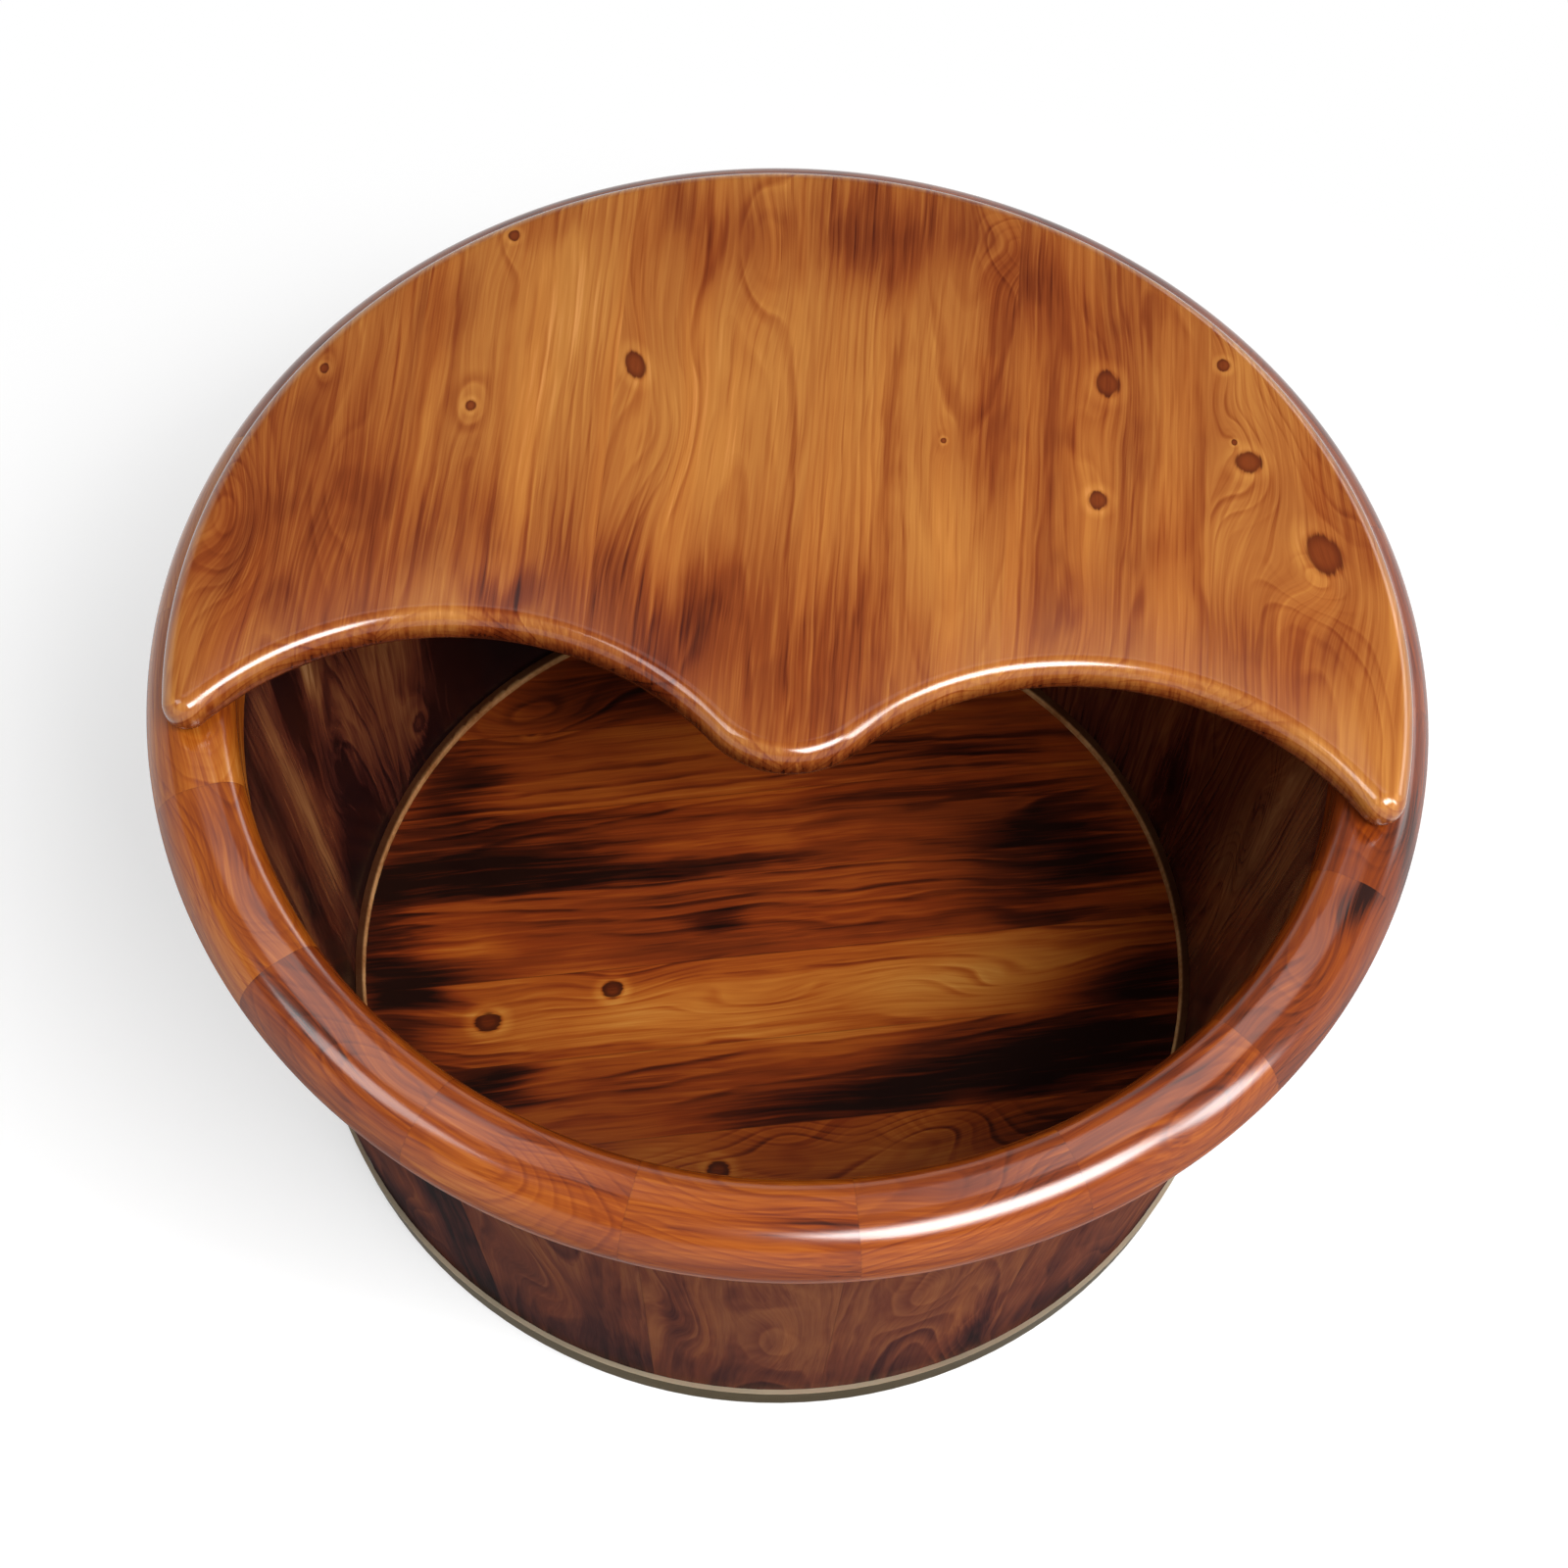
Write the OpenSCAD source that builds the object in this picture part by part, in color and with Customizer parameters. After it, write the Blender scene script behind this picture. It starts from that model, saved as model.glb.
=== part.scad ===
// Wooden foot bath with a resting lid.
// The origin is the centre of the foot circle, on the ground. +Z is up and -Y is the side the feet go in.

/* [Tub] */
// Height of the tub from the ground to the top of the rim
tub_h = 252; // [220:1:320]
// Outer radius of the rim
rim_r = 220; // [200:1:250]
// Number of staves, and of the rim segments above them
stave_count = 18; // [14:1:18]
// Thickness of the staves, measured level
wall_t = 14; // [12:0.5:20]
// How much further in the wall stands at the foot than under the rim
taper = 24; // [12:1:36]
// Chamfer on the stave ends that stand on the ground
foot_chamfer = 1.5; // [0.5:0.25:3]

/* [Rim] */
// Width of the rim, from the mouth to its outer edge
rim_w = 31; // [28:0.5:42]
// Height of the rim, which is also the diameter of its full-round outer edge
rim_h = 30; // [24:0.5:36]
// Radius of the edge that rounds the rim over into the mouth
rim_inner_edge_r = 10; // [6:0.5:12]

/* [Floor] */
// Height of the floor's top face above the ground
floor_top = 20; // [18:1:40]
// Thickness of the floor planks
floor_t = 14; // [10:0.5:16]
// Depth of the groove in the staves that holds the floor
croze_depth = 4; // [3:0.5:6]
// Depth of the first and the last floor plank, at the middle of the floor
floor_edge_w = 59.2; // [50:0.1:60]
// How far the middle seam of the floor lies from the centre
floor_seam_offset = 0.7; // [-6:0.1:6]
// Turn of the floor planks from the left-right line, in degrees
floor_turn = 11.5; // [-30:0.5:30]
// Radius of the sealing bead between the floor and the staves
bead_r = 3.4; // [2.5:0.1:5]

/* [Foot hoop] */
// Height of the metal band
hoop_h = 15; // [10:0.5:24]
// Thickness of the metal band
hoop_t = 1.8; // [1.2:0.1:3]
// Height of the band's lower edge above the ground
hoop_z = 1.5; // [1:0.25:4]

/* [Lid] */
// How far the lid's round edge is smaller in radius than the rim
lid_setback = 10; // [6:0.5:14]
// How far the lid is pulled forward from the tub's centre
lid_forward = 10; // [6:0.5:14]
// Thickness of the lid
lid_t = 16; // [15:0.5:22]
// Radius that rounds the lid's upper and lower edges
lid_edge_r = 7; // [4:0.25:7.25]
// How far each leg cut-out's circle runs out past the lid's centre line and its side
leg_run_out = 9; // [7:0.5:12]
// How far the leg cut-outs reach back behind the lid's centre
leg_reach = 3; // [-6:1:12]
// Radius of the tongue between the legs
tongue_r = 35; // [28:1:42]
// Radius of the lid's two front tips
tip_r = 8; // [7.75:0.25:12]
// Width of the inner lid planks
lid_plank_w = 70; // [66:1:74]

/* [Lid battens] */
// Width of each batten
batten_w = 30; // [24:1:36]
// Thickness of each batten
batten_t = 12; // [10:0.5:16]
// Chamfer along the battens' lower edges
batten_chamfer = 3; // [1:0.5:5]
// Distance of the front batten's middle behind the tub's centre
batten_front_y = 40; // [36:1:50]
// Distance of the back batten's middle from the back of the mouth
batten_back_gap = 67; // [63:1:76]
// Play between a batten's ends and the mouth of the tub
batten_play = 4; // [2:0.5:8]

/* [Pins and screws] */
// Diameter of the bamboo pins between staves and between floor planks
pin_d = 4; // [3:0.25:5]
// Length of those pins
pin_l = 20; // [16:1:24]
// Height of the lower row of pins in the staves
pin_low_z = 58; // [50:1:80]
// Height of the upper row of pins in the staves
pin_high_z = 160; // [120:1:175]
// Distance of the floor pins from the middle of each seam
floor_pin_spread = 70; // [50:1:90]
// Diameter of the dowels between the rim and the staves
dowel_d = 6; // [5:0.25:7]
// Length of those dowels
dowel_l = 24; // [18:1:28]
// Shank diameter of the batten screws
screw_d = 3; // [2.5:0.25:4]
// How far the batten screws reach into the lid
screw_bite = 9; // [6:0.5:10]
// Clearance round pins, dowels, screws, the floor, the bead and the hoop
clearance = 0.1; // [0.05:0.05:0.2]

/* [Hidden] */
$fn = 64;
function numbered(name, i) = str(name, i < 10 ? "_0" : "_", i);
stave_names = [for (i = [1 : stave_count]) numbered("stave", i)];
rim_names = [for (i = [1 : stave_count]) numbered("rim_segment", i)];
floor_names = [for (i = [1 : 8]) str("floor_plank_", i)];
lid_names = [for (i = [1 : 6]) str("lid_plank_", i)];

// Stave 1 is at the front, and the numbers run anticlockwise as seen from above.
stave_turn = 360 / stave_count;
front = -90;
mouth_r = rim_r - rim_w;
wall_h = tub_h - rim_h;
function wall_in(z) = mouth_r - taper * (1 - z / wall_h);
function wall_out(z) = wall_in(z) + wall_t;
function joint_angle(i) = front + (i - 0.5) * stave_turn;

floor_count = len(floor_names);
floor_bottom = floor_top - floor_t;
croze_r = wall_in(floor_top) + croze_depth;
floor_r = croze_r - clearance;
floor_plank_w = 2 * (floor_r - floor_edge_w) / (floor_count - 2);

lid_count = len(lid_names);
half_count = lid_count / 2;
lid_r = rim_r - lid_setback;
leg_x = lid_r / 2;
leg_r = leg_x + leg_run_out;
leg_y = leg_r - leg_reach;
tongue_y = leg_y - sqrt(pow(leg_r + tongue_r, 2) - pow(leg_x, 2));
batten_back_y = mouth_r - batten_back_gap;
batten_rows = [batten_front_y, batten_back_y];

// Longer than any piece, for cutting tools that run right through.
through = 2 * rim_r;

// Facets round the wide rings, the pins, and the dowels and screws.
ring_fn = 120;
pin_fn = 24;
dowel_fn = 32;

// Steps in each arc of a lid plank's outline, and up the lid's rounded edge.
outer_steps = 20;
inner_steps = 8;
tongue_steps = 6;
leg_steps = 8;
tip_steps = 9;
edge_steps = 5;

// Tub

module stave_profile() {
    difference() {
        polygon([
            [wall_in(0) + foot_chamfer, 0],
            [wall_out(0) - foot_chamfer, 0],
            [wall_out(foot_chamfer), foot_chamfer],
            [wall_out(wall_h), wall_h],
            [wall_in(wall_h), wall_h],
            [wall_in(foot_chamfer), foot_chamfer]
        ]);
        translate([croze_r - rim_w, floor_bottom]) square([rim_w, floor_t + clearance]);
    }
}

// One stave of the wall, with half a hole for each pin in both of its sides.
module stave(i) {
    color([0.30, 0.17, 0.09])
    difference() {
        rotate([0, 0, joint_angle(i - 1)])
            rotate_extrude(angle = stave_turn)
                stave_profile();
        for (side = [i - 1, i]) stave_pin_pair(joint_angle(side), clearance);
        rim_dowel(i, clearance);
    }
}

// The two pins that cross one joint, grown by a given play.
module stave_pin_pair(angle, play) {
    for (z = [pin_low_z, pin_high_z])
        rotate([0, 0, angle])
            translate([wall_in(z) + wall_t / 2, 0, z])
                pin(play);
}

// A pin along Y, centred on the origin.
module pin(play) {
    rotate([90, 0, 0])
        cylinder(d = pin_d + 2 * play, h = pin_l + 2 * play, center = true, $fn = pin_fn);
}

module stave_pins() {
    color([0.78, 0.62, 0.36])
    for (i = [1 : stave_count]) stave_pin_pair(joint_angle(i), 0);
}

// Rim

// Full round outside, a softer round inside, and a level seat between them for the lid.
module rim_profile() {
    half = rim_h / 2;
    translate([rim_r - half, wall_h + half]) circle(r = half);
    translate([mouth_r + rim_inner_edge_r, tub_h - rim_inner_edge_r]) circle(r = rim_inner_edge_r);
    translate([mouth_r, wall_h]) square([rim_w - half, rim_h - rim_inner_edge_r]);
    translate([mouth_r + rim_inner_edge_r, wall_h]) square([rim_w - half - rim_inner_edge_r, rim_h]);
}

module rim_segment(i) {
    color([0.55, 0.24, 0.09])
    difference() {
        rotate([0, 0, joint_angle(i - 1)])
            rotate_extrude(angle = stave_turn)
                rim_profile();
        rim_dowel(i, clearance);
    }
}

// The dowel that stands in the middle of a stave's end and reaches up into the rim.
module rim_dowel(i, play) {
    rotate([0, 0, front + (i - 1) * stave_turn])
        translate([mouth_r + wall_t / 2, 0, wall_h])
            cylinder(d = dowel_d + 2 * play, h = dowel_l + 2 * play, center = true, $fn = dowel_fn);
}

module rim_dowels() {
    color([0.78, 0.62, 0.36])
    for (i = [1 : stave_count]) rim_dowel(i, 0);
}

// Floor

// Distance of a seam of the floor from the centre, counted from the front.
function floor_seam(k) = floor_seam_offset + (k - floor_count / 2) * floor_plank_w;

// One plank of the round floor. The first and last planks run on to the floor's edge.
module floor_plank(i) {
    y0 = i == 1 ? -through : floor_seam(i - 1);
    y1 = i == floor_count ? through : floor_seam(i);
    color([0.42, 0.20, 0.08])
    rotate([0, 0, floor_turn])
    difference() {
        intersection() {
            translate([0, 0, floor_bottom]) cylinder(r = floor_r, h = floor_t, $fn = ring_fn);
            translate([-through, y0, 0]) cube([2 * through, y1 - y0, floor_top]);
        }
        if (i > 1) floor_pin_pair(i - 1, clearance);
        if (i < floor_count) floor_pin_pair(i, clearance);
    }
}

module floor_pin_pair(k, play) {
    for (side = [-1, 1])
        translate([side * floor_pin_spread, floor_seam(k), floor_top - floor_t / 2])
            pin(play);
}

module floor_pins() {
    color([0.78, 0.62, 0.36])
    rotate([0, 0, floor_turn])
        for (k = [1 : floor_count - 1]) floor_pin_pair(k, 0);
}

// A quarter-round bead that lies on the floor, against the leaning wall.
module floor_bead() {
    wall_lean = taper * bead_r / wall_h;
    color([0.70, 0.52, 0.30])
    translate([0, 0, floor_top])
    rotate_extrude($fn = ring_fn)
    translate([wall_in(floor_top) - clearance, 0])
    intersection() {
        circle(r = bead_r);
        polygon([[0, 0], [wall_lean, bead_r], [-bead_r, bead_r], [-bead_r, 0]]);
    }
}

// Foot hoop

// A flat band that follows the lean of the staves.
module foot_hoop() {
    low_r = wall_out(hoop_z) + clearance;
    high_r = wall_out(hoop_z + hoop_h) + clearance;
    color([0.52, 0.48, 0.38])
    rotate_extrude($fn = ring_fn)
    polygon([
        [low_r, hoop_z],
        [low_r + hoop_t, hoop_z],
        [high_r + hoop_t, hoop_z + hoop_h],
        [high_r, hoop_z + hoop_h]
    ]);
}

// Lid

// Centre of the right front tip's round: inside the lid's edge and clear of the leg cut-out.
function tip_centre() =
    let (
        edge_d = lid_r - tip_r,
        leg_d = leg_r + tip_r,
        apart = norm([leg_x, leg_y]),
        along = (pow(edge_d, 2) - pow(leg_d, 2) + pow(apart, 2)) / (2 * apart),
        across = sqrt(pow(edge_d, 2) - pow(along, 2)),
        to_leg = [leg_x, -leg_y] / apart
    )
    along * to_leg + across * [-to_leg[1], to_leg[0]];

function heading(v) = atan2(v[1], v[0]);

// Points on a circle's arc, with both of its ends.
function arc(centre, r, from, to, steps) =
    [for (i = [0 : steps])
        let (angle = from + (to - from) * i / steps)
        centre + r * [cos(angle), sin(angle)]];

function without_last(list) = [for (i = [0 : len(list) - 2]) list[i]];

// The outline of one of the three planks right of the middle, moved inwards at its curved edges by
// a given inset. It runs anticlockwise: back along the lid's edge, then forward along the tongue
// and the leg cut-out. The outer plank ends in the tip. Each arc is tangent to the next.
function lid_plank_outline(n, inset) =
    let (
        x0 = (n - 1) * lid_plank_w,
        x1 = n * lid_plank_w,
        edge = lid_r - inset,
        cut = leg_r + inset,
        leg = [leg_x, -leg_y],
        tip = tip_centre(),
        tongue = [0, -tongue_y],
        outer = n == half_count,
        edge_from = outer ? heading(tip) : acos(x1 / edge),
        cut_from = n == 1 ? heading(tongue - leg) : acos((x0 - leg_x) / cut),
        cut_to = outer ? heading(tip - leg) : acos((x1 - leg_x) / cut),
        leg_arc = arc(leg, cut, cut_from, cut_to, leg_steps)
    )
    concat(
        arc([0, 0], edge, edge_from, acos(x0 / edge), outer ? outer_steps : inner_steps),
        n == 1 ? without_last(arc(tongue, tongue_r - inset, -90, heading(leg - tongue), tongue_steps)) : [],
        outer ? without_last(leg_arc) : leg_arc,
        outer ? without_last(arc(tip, tip_r - inset, heading(leg - tip), heading(tip), tip_steps)) : []
    );

// Inset and height of each ring of points up the lid's rounded edge.
edge_rings = concat(
    [for (k = [0 : edge_steps])
        lid_edge_r * [1 - sin(90 * k / edge_steps), 1 - cos(90 * k / edge_steps)]],
    [for (k = [edge_steps : -1 : 0])
        [lid_edge_r * (1 - sin(90 * k / edge_steps)), lid_t - lid_edge_r * (1 - cos(90 * k / edge_steps))]]
);

// One plank right of the middle, as its outline lofted up through the rings.
module half_lid_plank(n) {
    count = len(lid_plank_outline(n, 0));
    last = len(edge_rings) - 1;
    points = [for (ring = edge_rings) for (p = lid_plank_outline(n, ring[0])) [p[0], p[1], ring[1]]];
    sides = [for (j = [0 : last - 1]) for (i = [0 : count - 1])
        [j * count + i, (j + 1) * count + i, (j + 1) * count + (i + 1) % count, j * count + (i + 1) % count]];
    bottom = [for (i = [0 : count - 1]) i];
    top = [for (i = [count - 1 : -1 : 0]) last * count + i];
    translate([0, -lid_forward, tub_h])
        polyhedron(points = points, faces = concat([bottom], sides, [top]), convexity = 6);
}

// One plank of the lid, counted from the left. The grain runs front to back.
module lid_plank(i) {
    right = i > half_count;
    color([0.66, 0.38, 0.15])
    difference() {
        if (right) half_lid_plank(i - half_count);
        else mirror([1, 0, 0]) half_lid_plank(half_count + 1 - i);
        if (i > 1 && i < lid_count) for (y = batten_rows) lid_screw(lid_plank_middle(i), y, clearance);
    }
}

function lid_plank_middle(i) = (i - (lid_count + 1) / 2) * lid_plank_w;

// A cross batten under the lid. Its ends follow the mouth of the tub and keep the lid in place.
module lid_batten(y) {
    color([0.58, 0.32, 0.13])
    difference() {
        intersection() {
            translate([0, 0, tub_h - batten_t])
                cylinder(r = mouth_r - batten_play, h = batten_t, $fn = ring_fn);
            translate([-through, y, tub_h])
                rotate([90, 0, 90])
                    linear_extrude(2 * through)
                        batten_profile();
        }
        for (i = [2 : lid_count - 1]) lid_screw(lid_plank_middle(i), y, clearance);
    }
}

module batten_profile() {
    half = batten_w / 2;
    polygon([
        [-half, 0],
        [-half, batten_chamfer - batten_t],
        [batten_chamfer - half, -batten_t],
        [half - batten_chamfer, -batten_t],
        [half, batten_chamfer - batten_t],
        [half, 0]
    ]);
}

// A countersunk screw that comes up through a batten, flush with its lower face.
module lid_screw(x, y, play) {
    length = batten_t + screw_bite;
    shank = screw_d / 2 + play;
    translate([x, y, tub_h - batten_t])
        rotate_extrude($fn = dowel_fn)
            polygon([
                [0, -play],
                [screw_d + play, -play],
                [screw_d + play, 0],
                [shank, screw_d / 2],
                [shank, length - screw_d],
                [0, length + play]
            ]);
}

module batten_screws() {
    color([0.72, 0.70, 0.64])
    for (y = batten_rows) for (i = [2 : lid_count - 1]) lid_screw(lid_plank_middle(i), y, 0);
}

for (i = [1 : stave_count]) stave(i);
for (i = [1 : stave_count]) rim_segment(i);
for (i = [1 : floor_count]) floor_plank(i);
for (i = [1 : lid_count]) lid_plank(i);
floor_bead();
foot_hoop();
lid_batten(batten_front_y);  // lid_batten_front
lid_batten(batten_back_y);  // lid_batten_back
batten_screws();
stave_pins();
floor_pins();
rim_dowels();
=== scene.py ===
import math
import random

import bmesh
import bpy
from mathutils import Matrix, Vector


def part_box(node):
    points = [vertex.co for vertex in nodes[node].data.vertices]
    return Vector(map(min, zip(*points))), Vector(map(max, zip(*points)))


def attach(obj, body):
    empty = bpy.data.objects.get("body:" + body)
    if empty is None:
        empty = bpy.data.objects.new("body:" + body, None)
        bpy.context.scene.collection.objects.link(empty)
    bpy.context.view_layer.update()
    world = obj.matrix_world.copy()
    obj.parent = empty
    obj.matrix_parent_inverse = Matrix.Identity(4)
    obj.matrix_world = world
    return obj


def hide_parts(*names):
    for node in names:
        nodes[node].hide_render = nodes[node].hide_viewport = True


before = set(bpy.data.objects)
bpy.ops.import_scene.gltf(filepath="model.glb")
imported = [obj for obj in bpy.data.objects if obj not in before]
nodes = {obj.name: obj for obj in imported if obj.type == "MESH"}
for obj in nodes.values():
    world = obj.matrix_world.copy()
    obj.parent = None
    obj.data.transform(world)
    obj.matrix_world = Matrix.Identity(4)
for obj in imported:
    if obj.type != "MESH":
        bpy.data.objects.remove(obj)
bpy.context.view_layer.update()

# Sizes of the frame, in metres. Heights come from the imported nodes.
MM = 0.001
TUB_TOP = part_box("rim_segment_01")[1].z
RIM_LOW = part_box("rim_segment_01")[0].z
RIM_R = -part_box("rim_segment_01")[0].y
HOOP_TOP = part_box("foot_hoop")[1].z
FOOT_R = 179 * MM
WALL_T = 14 * MM
TAPER = 24 * MM
STAVE_MID_R = 185 * MM
RIM_MID_R = 204 * MM
FLOOR_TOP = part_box("floor_plank_4")[1].z
LID_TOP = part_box("lid_plank_3")[1].z
STAVES = 18
STEP = math.tau / STAVES
FRONT = -math.pi / 2
WALL_LEAN = math.atan2(TAPER, RIM_LOW)
FLOOR_TURN = math.radians(11.5)
FLOOR_SEAM = 0.7 * MM
FLOOR_PLANKS = 8
FLOOR_PLANK_W = 37.29 * MM
LID_PLANKS = 6
LID_PLANK_W = 70 * MM


def level_vector(angle):
    """A level direction of length 1, at an angle from X."""
    return Vector((math.cos(angle), math.sin(angle), 0))


# Colour

def srgb(red, green, blue):
    """A colour given in 0 to 255 display values, as linear values."""
    def linear(value):
        value /= 255
        return value / 12.92 if value <= 0.04045 else ((value + 0.055) / 1.055) ** 2.4
    return linear(red), linear(green), linear(blue), 1.0


# Each palette runs from the darkest streaks of a wood to its palest early wood.
LID_PALETTE = [
    (0.00, srgb(58, 20, 9)),
    (0.20, srgb(102, 42, 16)),
    (0.40, srgb(126, 60, 24)),
    (0.55, srgb(143, 78, 32)),
    (0.70, srgb(158, 95, 42)),
    (0.85, srgb(174, 113, 52)),
    (1.00, srgb(198, 136, 76)),
]
RIM_PALETTE = [
    (0.00, srgb(38, 14, 8)),
    (0.20, srgb(80, 32, 13)),
    (0.40, srgb(112, 46, 14)),
    (0.55, srgb(132, 60, 15)),
    (0.70, srgb(152, 78, 20)),
    (0.85, srgb(170, 99, 34)),
    (1.00, srgb(186, 124, 62)),
]
FLOOR_PALETTE = [
    (0.00, srgb(30, 12, 7)),
    (0.20, srgb(74, 27, 11)),
    (0.40, srgb(132, 54, 18)),
    (0.55, srgb(162, 80, 25)),
    (0.70, srgb(186, 110, 41)),
    (0.85, srgb(204, 140, 64)),
    (1.00, srgb(222, 168, 94)),
]
WALL_PALETTE = [
    (0.00, srgb(28, 13, 15)),
    (0.20, srgb(62, 28, 24)),
    (0.40, srgb(96, 48, 33)),
    (0.60, srgb(128, 76, 46)),
    (0.80, srgb(156, 103, 62)),
    (1.00, srgb(184, 134, 88)),
]

# Tints that a wood's colour is multiplied by.
REDDER = (1.0, 0.87, 0.76, 1.0)
PLUM = (0.68, 0.56, 0.66, 1.0)

# Features to the metre along and across the grain of each noise that a wood is made of.
BANDS = (3.5, 55)
STREAKS = (13, 430)
STROKES = (26, 720)
FIBRES = (30, 1250)
PORES = (35, 1250)


# Node graphs

class Graph:
    """A material's nodes, made with one short call each."""

    def __init__(self, name):
        self.material = bpy.data.materials.new(name)
        self.material.use_nodes = True
        self.tree = self.material.node_tree
        self.tree.nodes.clear()

    def node(self, kind, inputs=None, **settings):
        made = self.tree.nodes.new("ShaderNode" + kind)
        for key, value in settings.items():
            setattr(made, key, value)
        for key, value in (inputs or {}).items():
            if isinstance(value, bpy.types.NodeSocket):
                self.tree.links.new(value, made.inputs[key])
            else:
                made.inputs[key].default_value = value
        return made

    def math(self, operation, first, second=0.0, third=0.0, clamp=False):
        inputs = {0: first, 1: second, 2: third}
        return self.node("Math", inputs, operation=operation, use_clamp=clamp).outputs[0]

    def vector(self, operation, first, second=(0, 0, 0), third=(0, 0, 0)):
        inputs = {0: first, 1: second, 2: third}
        made = self.node("VectorMath", inputs, operation=operation)
        scalar = operation in ("LENGTH", "DOT_PRODUCT", "DISTANCE")
        return made.outputs["Value" if scalar else "Vector"]

    def object_place(self):
        return self.node("TexCoord").outputs["Object"]

    def split(self, vector):
        return self.node("SeparateXYZ", {0: vector}).outputs

    def off_middle(self, noise):
        """A noise as its distance from its middle value."""
        return self.math("SUBTRACT", noise, 0.5)

    def noise(self, place, scale, offset=(0, 0, 0), detail=2.0, roughness=0.5, output="Fac"):
        """Noise whose features are 1 / scale metres long on each axis."""
        spread = self.vector("MULTIPLY_ADD", place, scale, offset)
        inputs = {"Vector": spread, "Scale": 1.0, "Detail": detail, "Roughness": roughness}
        return self.node("TexNoise", inputs).outputs[output]

    def smooth(self, value, low, high, to_low=0.0, to_high=1.0):
        """A smooth step from to_low at low to to_high at high."""
        inputs = {"Value": value, "From Min": low, "From Max": high, "To Min": to_low, "To Max": to_high}
        return self.node("MapRange", inputs, interpolation_type="SMOOTHSTEP").outputs["Result"]

    def ramp(self, value, stops):
        made = self.node("ValToRGB", {"Fac": value})
        elements = made.color_ramp.elements
        while len(elements) < len(stops):
            elements.new(0.5)
        for element, (position, colour) in zip(elements, stops):
            element.position = position
            element.color = colour
        return made.outputs["Color"]

    def mix(self, factor, first, second, blend="MIX"):
        made = self.node("Mix", data_type="RGBA", blend_type=blend)
        for index, value in ((0, factor), (6, first), (7, second)):
            if isinstance(value, bpy.types.NodeSocket):
                self.tree.links.new(value, made.inputs[index])
            else:
                made.inputs[index].default_value = value
        return made.outputs[2]

    def bump(self, height, distance):
        return self.node("Bump", {"Height": height, "Distance": distance, "Strength": 1.0}).outputs[0]

    def surface(self, inputs):
        """A Principled surface, linked to the material's output."""
        shader = self.node("BsdfPrincipled", inputs)
        output = self.node("OutputMaterial")
        self.tree.links.new(shader.outputs[0], output.inputs["Surface"])
        return self.material


# Wood

class Board:
    """Where a piece of wood lies: its grain runs along U, V crosses it and W is the face's normal."""

    def __init__(self, origin, grain, normal):
        self.origin = Vector(origin)
        self.u = Vector(grain).normalized()
        self.w = Vector(normal).normalized()
        self.v = self.w.cross(self.u)

    def turn(self):
        return Matrix((self.u, self.v, self.w)).transposed().to_euler()

    def place(self, point):
        """The board coordinates of a point of the frame."""
        offset = Vector(point) - self.origin
        return offset.dot(self.u), offset.dot(self.v), offset.dot(self.w)


class Figure:
    """How a board was sawn: where its pith lies, how wide its rings are and how they wander.

    Late_from is where in a ring its dark late wood begins. Through is how fast the grain changes
    through the board, against how fast it does across it.
    """

    def __init__(self, seed, pith_depth=(0.03, 0.09), pith_side=0.02, tilt=0.03, ring_w=(2.2, 3.4),
                 wander=5.0, late_from=0.5, through=1.0):
        draw = random.Random(seed)
        self.pith = (0, draw.uniform(-pith_side, pith_side), -draw.uniform(*pith_depth))
        self.tilt = (0, draw.uniform(-tilt, tilt), draw.uniform(-tilt, tilt) * 0.5)
        self.ring_w = draw.uniform(*ring_w) * MM
        self.wander = wander * MM
        self.late_from = late_from
        self.through = through
        self.offset = tuple(draw.uniform(-40, 40) for _ in range(3))

    def scale(self, along, across):
        return along, across, across * self.through


class Tone:
    """How pale a board is, from 0 to 1 along its palette, and how strongly its grain and stains show."""

    def __init__(self, level, rings=0.2, streaks=0.3, bands=0.3, clouds=0.3, stain=0.35, strokes=0.2,
                 seam=0.3):
        self.level = level
        self.rings = rings
        self.streaks = streaks
        self.bands = bands
        self.clouds = clouds
        self.stain = stain
        self.strokes = strokes
        self.seam = seam


class Finish:
    """The varnish over a wood, and how much of its coat is left where it is rubbed dull."""

    def __init__(self, coat=1.0, coat_roughness=0.15, roughness=0.4, ripple=0.02, dull_coat=0.1):
        self.coat = coat
        self.dull_coat = dull_coat
        self.coat_roughness = coat_roughness
        self.roughness = roughness
        self.ripple = ripple


def ellipse(graph, place, centre, size, turn=0.0):
    """The square of a point's distance from a centre, where 1 is an ellipse of that size."""
    inputs = {
        "Vector": graph.vector("MULTIPLY", place, (1, 1, 0)),
        "Location": (centre[0], centre[1], 0),
        "Rotation": (0, 0, turn),
        "Scale": (size[0], size[1], 1),
    }
    local = graph.node("Mapping", inputs, vector_type="TEXTURE").outputs[0]
    return graph.vector("DOT_PRODUCT", local, local)


def bell(graph, squared):
    return graph.math("POWER", math.exp(-1), squared)


def plateau(graph, squared):
    """Like a bell, but more level in the middle and steeper at the edge."""
    return bell(graph, graph.math("POWER", squared, 1.3))


def stain_mask(graph, place, stains, narrow, broad, patchy):
    """The sum of the stains, whose ends are torn along the grain."""
    flames = graph.math("MULTIPLY", graph.off_middle(broad), 75 * MM)
    tear = graph.node("CombineXYZ", {
        "X": graph.math("MULTIPLY_ADD", graph.off_middle(narrow), 18 * MM, flames),
        "Y": graph.math("MULTIPLY", graph.off_middle(patchy), 10 * MM),
    }).outputs[0]
    torn = graph.vector("ADD", place, tear)
    total = 0.0
    for centre, size, strength in stains:
        squared = ellipse(graph, torn, centre, size)
        total = graph.math("MULTIPLY_ADD", plateau(graph, squared), strength, total)
    return total


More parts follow.
